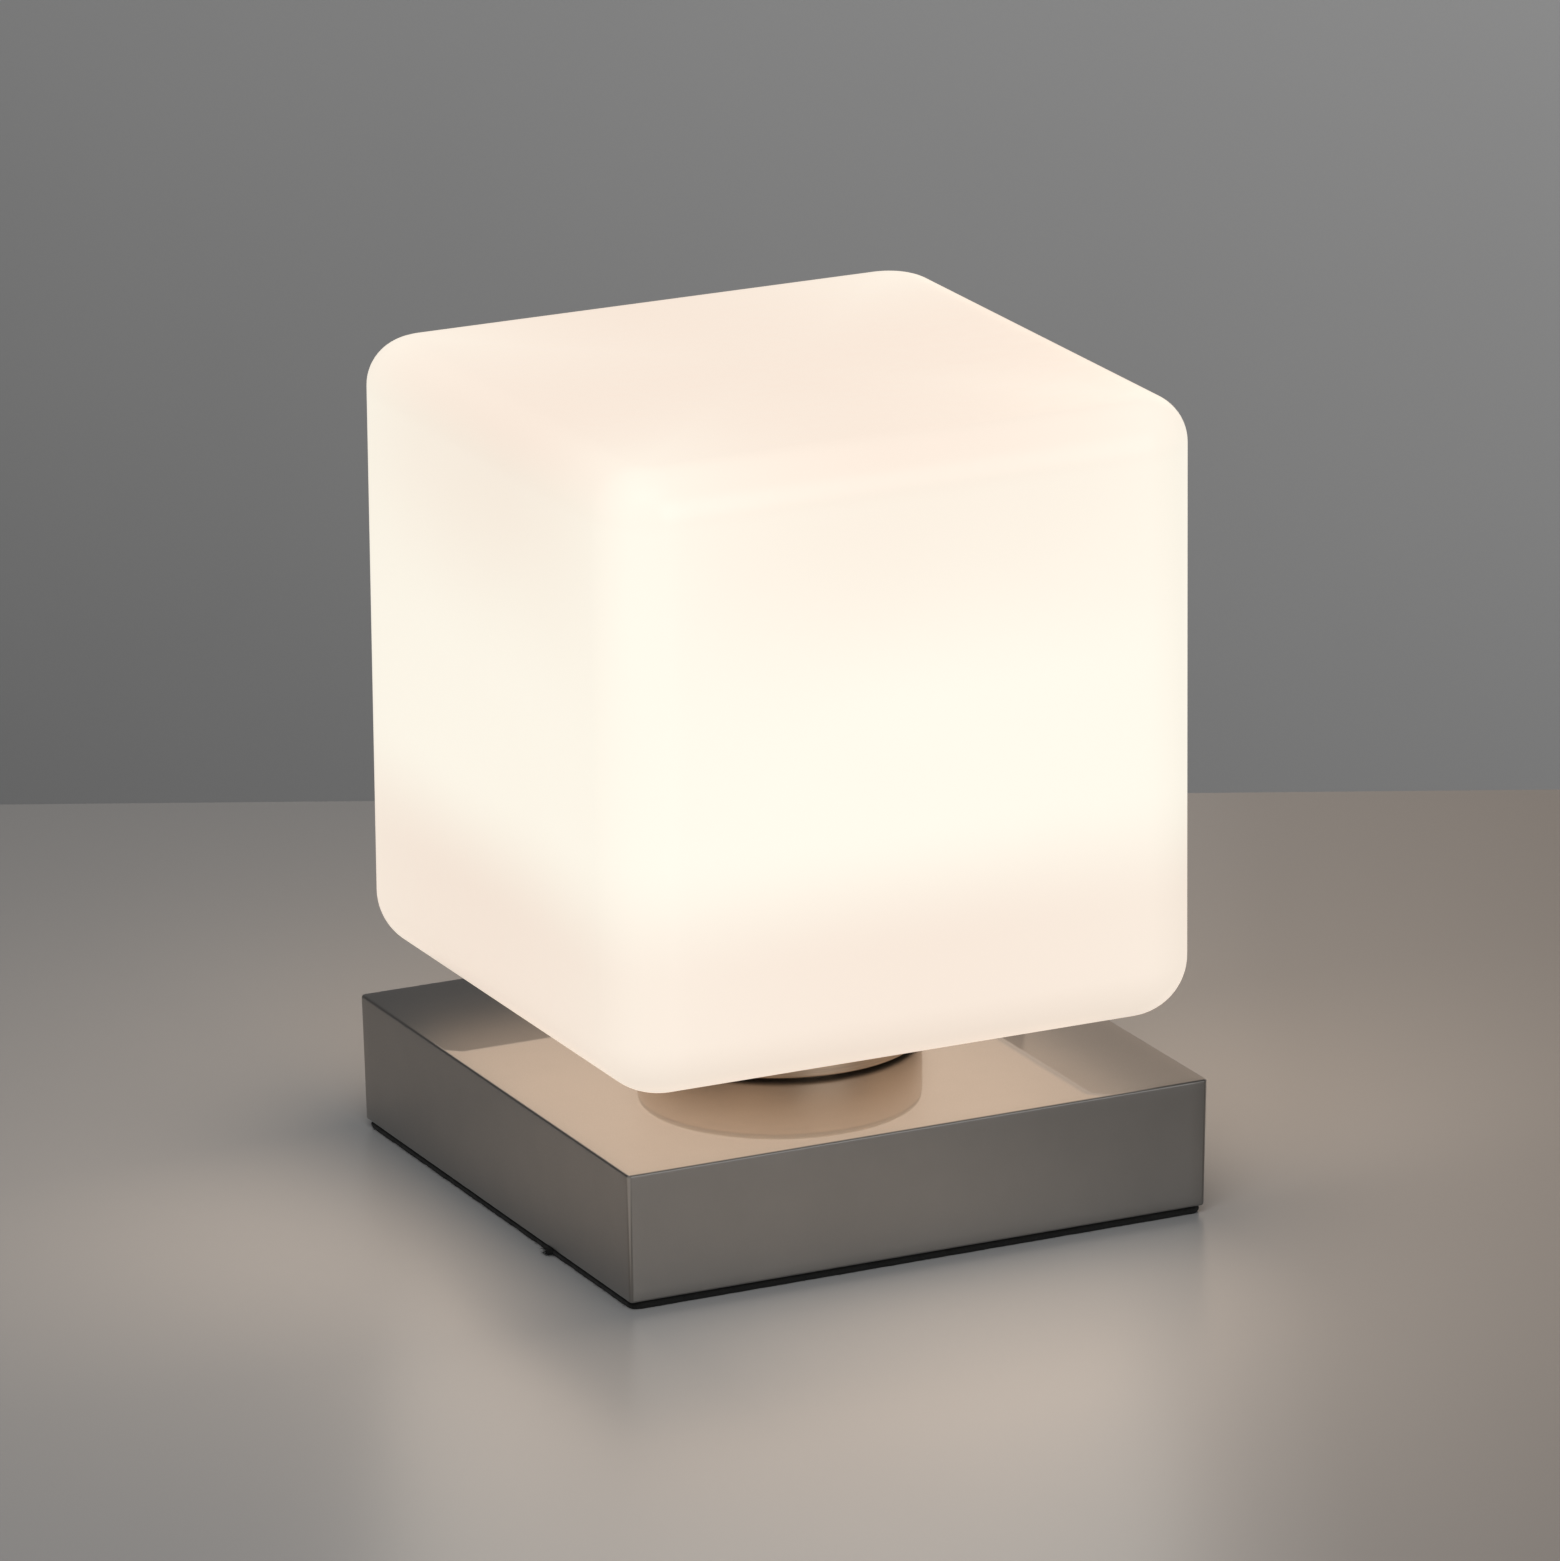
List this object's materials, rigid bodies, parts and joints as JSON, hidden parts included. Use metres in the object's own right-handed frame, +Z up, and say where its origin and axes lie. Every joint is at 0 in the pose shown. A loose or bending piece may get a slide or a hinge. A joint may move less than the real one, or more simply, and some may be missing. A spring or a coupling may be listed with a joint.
{
  "type": "cube table lamp",
  "caption": "Small table lamp: a square satin metal base with a felt foot, a round holder cup, and an opal glass cube over an LED post that lifts straight off.",
  "frame": {"origin": "middle of the felt pad's underside, on the table", "axes": "+Z up, through the holder cup and the glass; +Y to the rear, where the cord enters; +X to the right seen from the front"},
  "size_m": [0.1206, 0.1215, 0.1578],
  "materials": {
    "satin_nickel": "satin nickel under a thin gloss lacquer",
    "plated_steel": "bright zinc plate",
    "raw_steel": "sawn, oiled",
    "spring_steel": "rolled, bright",
    "tinned_brass": "tinned",
    "cast_aluminium": "bead-blasted",
    "black_felt": "needled felt",
    "black_rubber": "moulded, matt",
    "clear_silicone": "milky, satin",
    "opal_glass": "blown opal glass, satin outside",
    "opal_plastic": "opal, matt",
    "white_board": "white solder mask",
    "green_board": "green solder mask",
    "led_phosphor": "yellow phosphor gel",
    "white_plastic": "moulded, fine spark texture",
    "black_plastic": "moulded, matt",
    "wire_insulation": "extruded",
    "wire_insulation_red": "extruded",
    "wire_insulation_brown": "extruded",
    "wire_insulation_blue": "extruded"
  },
  "bodies": {
    "base": {"ballast_plate": "raw_steel", "base_cover": "satin_nickel", "base_plate": "plated_steel", "block_mount_screw": "plated_steel", "board_screws": "plated_steel", "clamp_screws": "plated_steel", "clip_spring_1": "spring_steel", "clip_spring_2": "spring_steel", "clip_spring_3": "spring_steel", "cord_bush": "black_rubber", "cord_clamp_bar": "black_plastic", "cord_clamp_base": "black_plastic", "driver_board": "green_board", "driver_capacitor": "black_plastic", "driver_lid": "white_plastic", "driver_output_block": "white_plastic", "driver_screws": "plated_steel", "driver_transformer": "black_plastic", "driver_tray": "white_plastic", "felt_pad": "black_felt", "heat_sink": "cast_aluminium", "heat_sink_screws": "plated_steel", "holder_cup": "satin_nickel", "led_board": "white_board", "led_chips": "led_phosphor", "led_connector": "white_plastic", "led_diffuser": "opal_plastic", "led_wire_minus": "wire_insulation", "led_wire_plus": "wire_insulation_red", "lower_lock_washer": "plated_steel", "lower_nut": "plated_steel", "mains_wire_live": "wire_insulation_brown", "mains_wire_neutral": "wire_insulation_blue", "plate_screws": "plated_steel", "spring_carrier": "plated_steel", "spring_rivets": "plated_steel", "terminal_block": "white_plastic", "terminal_screws": "tinned_brass", "threaded_nipple": "plated_steel", "touch_lead": "wire_insulation", "touch_ring_terminal": "tinned_brass", "upper_lock_washer": "plated_steel", "upper_nut": "plated_steel"},
    "seat": {"seat_ring": "clear_silicone"},
    "shade": {"glass_shade": "opal_glass"}
  },
  "joints": [
    {"name": "shade_turn", "type": "hinge", "parent": "base", "child": "seat", "pos_m": [0, 0, 0.037], "axis": [0, 0, 1], "continuous": true},
    {"name": "shade_lift", "type": "slide", "parent": "seat", "child": "shade", "axis": [0, 0, 1], "range_m": [0, 0.072]}
  ]
}
